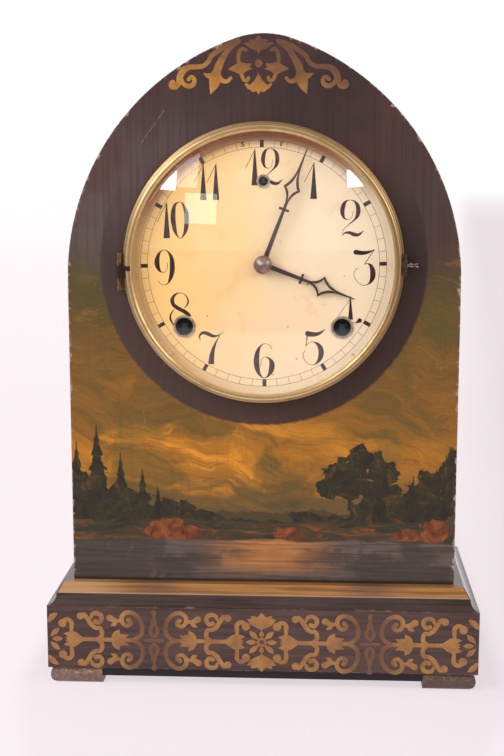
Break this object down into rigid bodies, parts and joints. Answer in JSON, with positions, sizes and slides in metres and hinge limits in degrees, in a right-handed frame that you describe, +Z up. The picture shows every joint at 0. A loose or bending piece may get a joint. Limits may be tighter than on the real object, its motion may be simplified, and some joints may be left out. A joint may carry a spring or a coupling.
{
  "type": "beehive shelf clock",
  "caption": "Lancet-shaped wooden shelf clock with a hinged domed-glass dial, painted front, gilt stencilled base and a geared striking movement.",
  "frame": {"origin": "middle of the clock's footprint, on the surface it stands on", "axes": "+Z up, -Y is the dial side, +X to the right as the dial is read"},
  "size_m": [0.254, 0.137, 0.3781],
  "materials": {
    "lacquered_wood": "dark stained and lacquered wood, worn at the edges",
    "base_wood": "dark lacquered wood with gilt stencilling",
    "gilt_foot": "bronzed wood, worn",
    "plain_wood": "plain stained pine",
    "dial_paper": "aged cream dial",
    "old_brass": "aged brass",
    "bezel_glass": "clear domed glass",
    "dark_steel": "blued steel",
    "movement_brass": "brass with light tarnish",
    "movement_steel": "oiled steel",
    "bob_brass": "brass over lead",
    "gong_iron": "black cast iron"
  },
  "bodies": {
    "case": {"front_board": "lacquered_wood", "case_shell": "lacquered_wood", "back_board": "plain_wood", "door_leaves_fixed": "old_brass", "base_top": "base_wood", "base_front_rail": "base_wood", "base_side_rails": "base_wood", "base_back_rail": "plain_wood", "base_bottom": "base_wood", "feet": "gilt_foot", "dial_plate": "dial_paper", "dial_fittings": "old_brass", "case_hinge_leaf": "old_brass", "bezel_hinge_pin": "movement_steel", "front_plate": "movement_brass", "back_plate": "movement_brass", "plate_pillars": "movement_brass", "movement_screws": "movement_steel", "suspension_cock": "movement_brass", "suspension_spring": "movement_steel", "time_mainspring": "movement_steel", "strike_mainspring": "movement_steel", "gong_coil": "dark_steel", "gong_stand": "gong_iron"},
    "bezel_door": {"bezel_rim": "old_brass", "bezel_glass": "bezel_glass", "glass_ring": "old_brass", "bezel_hinge_leaf": "dark_steel", "bezel_knob": "old_brass"},
    "rear_door": {"back_door": "plain_wood", "door_hinge_leaves": "old_brass"},
    "turn_button": {"door_button": "old_brass"},
    "centre": {"centre_wheel": "movement_brass", "minute_hand": "dark_steel", "hand_nut": "dark_steel"},
    "hour": {"hour_wheel": "movement_brass", "hour_hand": "dark_steel"},
    "minute_idler": {"minute_wheel": "movement_brass"},
    "time_great": {"time_great_wheel": "movement_brass"},
    "time_winder": {"time_winding_arbor": "movement_steel"},
    "time_pawl": {"time_click": "movement_steel"},
    "time_second": {"time_second_wheel": "movement_brass"},
    "fourth": {"fourth_wheel": "movement_brass"},
    "escape": {"escape_wheel": "movement_brass"},
    "verge": {"verge": "movement_steel"},
    "pendulum": {"pendulum_rod": "movement_steel", "pendulum_bob": "bob_brass"},
    "regulator": {"regulator_arbor": "movement_steel"},
    "slide": {"regulator_slide": "movement_brass"},
    "strike_great": {"strike_great_wheel": "movement_brass"},
    "strike_winder": {"strike_winding_arbor": "movement_steel"},
    "strike_pawl": {"strike_click": "movement_steel"},
    "strike_second": {"strike_second_wheel": "movement_brass"},
    "cam": {"cam_wheel": "movement_brass"},
    "warning": {"warning_wheel": "movement_brass"},
    "fly": {"fly": "movement_brass"},
    "count": {"count_wheel": "movement_brass"},
    "counter": {"count_lever": "movement_steel"},
    "lifter": {"lifting_lever": "movement_steel"},
    "hammer": {"hammer": "movement_steel"}
  },
  "joints": [
    {"name": "bezel_swing", "type": "hinge", "parent": "case", "child": "bezel_door", "pos_m": [-0.0825, -0.057, 0.245], "axis": [0, 0, -1], "range_deg": [0, 110]},
    {"name": "rear_door_swing", "type": "hinge", "parent": "case", "child": "rear_door", "pos_m": [-0.0666, 0.065, 0.1473], "axis": [0, 0, 1], "range_deg": [0, 110]},
    {"name": "button_turn", "type": "hinge", "parent": "case", "child": "turn_button", "pos_m": [0.077, 0.063, 0.1673], "axis": [0, 1, 0], "range_deg": [0, 90]},
    {"name": "minute_turn", "type": "hinge", "parent": "case", "child": "centre", "pos_m": [0, 0, 0.2494], "axis": [0, 1, 0], "continuous": true},
    {"name": "hour_turn", "type": "hinge", "parent": "case", "child": "hour", "pos_m": [0, 0, 0.2494], "axis": [0, 1, 0], "continuous": true},
    {"name": "minute_wheel_turn", "type": "hinge", "parent": "case", "child": "minute_idler", "pos_m": [-0.01128, 0, 0.2453], "axis": [0, 1, 0], "continuous": true},
    {"name": "time_second_turn", "type": "hinge", "parent": "case", "child": "time_second", "pos_m": [0.01063, 0, 0.22788], "axis": [0, 1, 0], "continuous": true},
    {"name": "time_great_turn", "type": "hinge", "parent": "case", "child": "time_great", "pos_m": [0.0455, 0, 0.2133], "axis": [0, 1, 0], "continuous": true},
    {"name": "fourth_turn", "type": "hinge", "parent": "case", "child": "fourth", "pos_m": [0.01684, 0, 0.26356], "axis": [0, 1, 0], "continuous": true},
    {"name": "escape_turn", "type": "hinge", "parent": "case", "child": "escape", "pos_m": [0, 0, 0.2734], "axis": [0, 1, 0], "continuous": true},
    {"name": "time_wind", "type": "hinge", "parent": "time_great", "child": "time_winder", "pos_m": [0.0455, 0, 0.2133], "axis": [0, 1, 0], "continuous": true},
    {"name": "time_click_rock", "type": "hinge", "parent": "time_great", "child": "time_pawl", "pos_m": [0.04255, 0, 0.23004], "axis": [0, -1, 0], "range_deg": [0, 10], "stiffness_Nm_per_rad": 0.0005, "springref_deg": -17.19},
    {"name": "verge_rock", "type": "hinge", "parent": "case", "child": "verge", "pos_m": [0, 0, 0.29108], "axis": [0, 1, 0], "range_deg": [-4.2, 4.2]},
    {"name": "pendulum_swing", "type": "hinge", "parent": "case", "child": "pendulum", "pos_m": [0, 0, 0.2949], "axis": [0, 1, 0], "range_deg": [-3.5, 3.5]},
    {"name": "regulator_turn", "type": "hinge", "parent": "case", "child": "regulator", "pos_m": [0, 0, 0.2964], "axis": [0, 1, 0], "range_deg": [-27, 27]},
    {"name": "regulator_lift", "type": "slide", "parent": "case", "child": "slide", "axis": [0, 0, 1], "range_m": [-0.00118, 0.00118]},
    {"name": "strike_run", "type": "hinge", "parent": "case", "child": "cam", "pos_m": [-0.02347, 0, 0.24215], "axis": [0, 1, 0], "continuous": true},
    {"name": "strike_great_turn", "type": "hinge", "parent": "case", "child": "strike_great", "pos_m": [-0.0455, 0, 0.2133], "axis": [0, 1, 0], "continuous": true},
    {"name": "strike_second_turn", "type": "hinge", "parent": "case", "child": "strike_second", "pos_m": [-0.01063, 0, 0.22788], "axis": [0, 1, 0], "continuous": true},
    {"name": "warning_turn", "type": "hinge", "parent": "case", "child": "warning", "pos_m": [-0.02347, 0, 0.25745], "axis": [0, 1, 0], "continuous": true},
    {"name": "fly_turn", "type": "hinge", "parent": "case", "child": "fly", "pos_m": [-0.02566, 0, 0.26986], "axis": [0, 1, 0], "continuous": true},
    {"name": "count_turn", "type": "hinge", "parent": "case", "child": "count", "pos_m": [-0.0455, 0, 0.2133], "axis": [0, 1, 0], "continuous": true},
    {"name": "strike_wind", "type": "hinge", "parent": "strike_great", "child": "strike_winder", "pos_m": [-0.0455, 0, 0.2133], "axis": [0, 1, 0], "continuous": true},
    {"name": "strike_click_rock", "type": "hinge", "parent": "strike_great", "child": "strike_pawl", "pos_m": [-0.04255, 0, 0.23004], "axis": [0, 1, 0], "range_deg": [0, 10], "stiffness_Nm_per_rad": 0.0005, "springref_deg": -17.19},
    {"name": "count_lever_lift", "type": "hinge", "parent": "case", "child": "counter", "pos_m": [-0.054, 0, 0.2474], "axis": [0, -1, 0], "range_deg": [0, 8]},
    {"name": "lifting_lever_lift", "type": "hinge", "parent": "case", "child": "lifter", "pos_m": [-0.014, 0, 0.2794], "axis": [0, 1, 0], "range_deg": [0, 10]},
    {"name": "hammer_swing", "type": "hinge", "parent": "case", "child": "hammer", "pos_m": [-0.008, 0, 0.2034], "axis": [0, 1, 0], "range_deg": [0, 8], "stiffness_Nm_per_rad": 0.002, "springref_deg": -11.46}
  ],
  "couplings": [
    {"joint": "hour_turn", "follows": "minute_turn", "ratio": 0.083333},
    {"joint": "minute_wheel_turn", "follows": "minute_turn", "ratio": -0.33333},
    {"joint": "time_second_turn", "follows": "minute_turn", "ratio": -0.5},
    {"joint": "time_great_turn", "follows": "minute_turn", "ratio": 0.083333},
    {"joint": "fourth_turn", "follows": "minute_turn", "ratio": -10},
    {"joint": "escape_turn", "follows": "minute_turn", "ratio": 120},
    {"joint": "verge_rock", "follows": "pendulum_swing", "ratio": 1.1135},
    {"joint": "regulator_turn", "follows": "regulator_lift", "rad_per_m": 400},
    {"joint": "strike_great_turn", "follows": "strike_run", "ratio": 0.011111},
    {"joint": "strike_second_turn", "follows": "strike_run", "ratio": -0.066667},
    {"joint": "warning_turn", "follows": "strike_run", "ratio": -7.5},
    {"joint": "fly_turn", "follows": "strike_run", "ratio": 60},
    {"joint": "count_turn", "follows": "strike_run", "ratio": 0.011111}
  ]
}
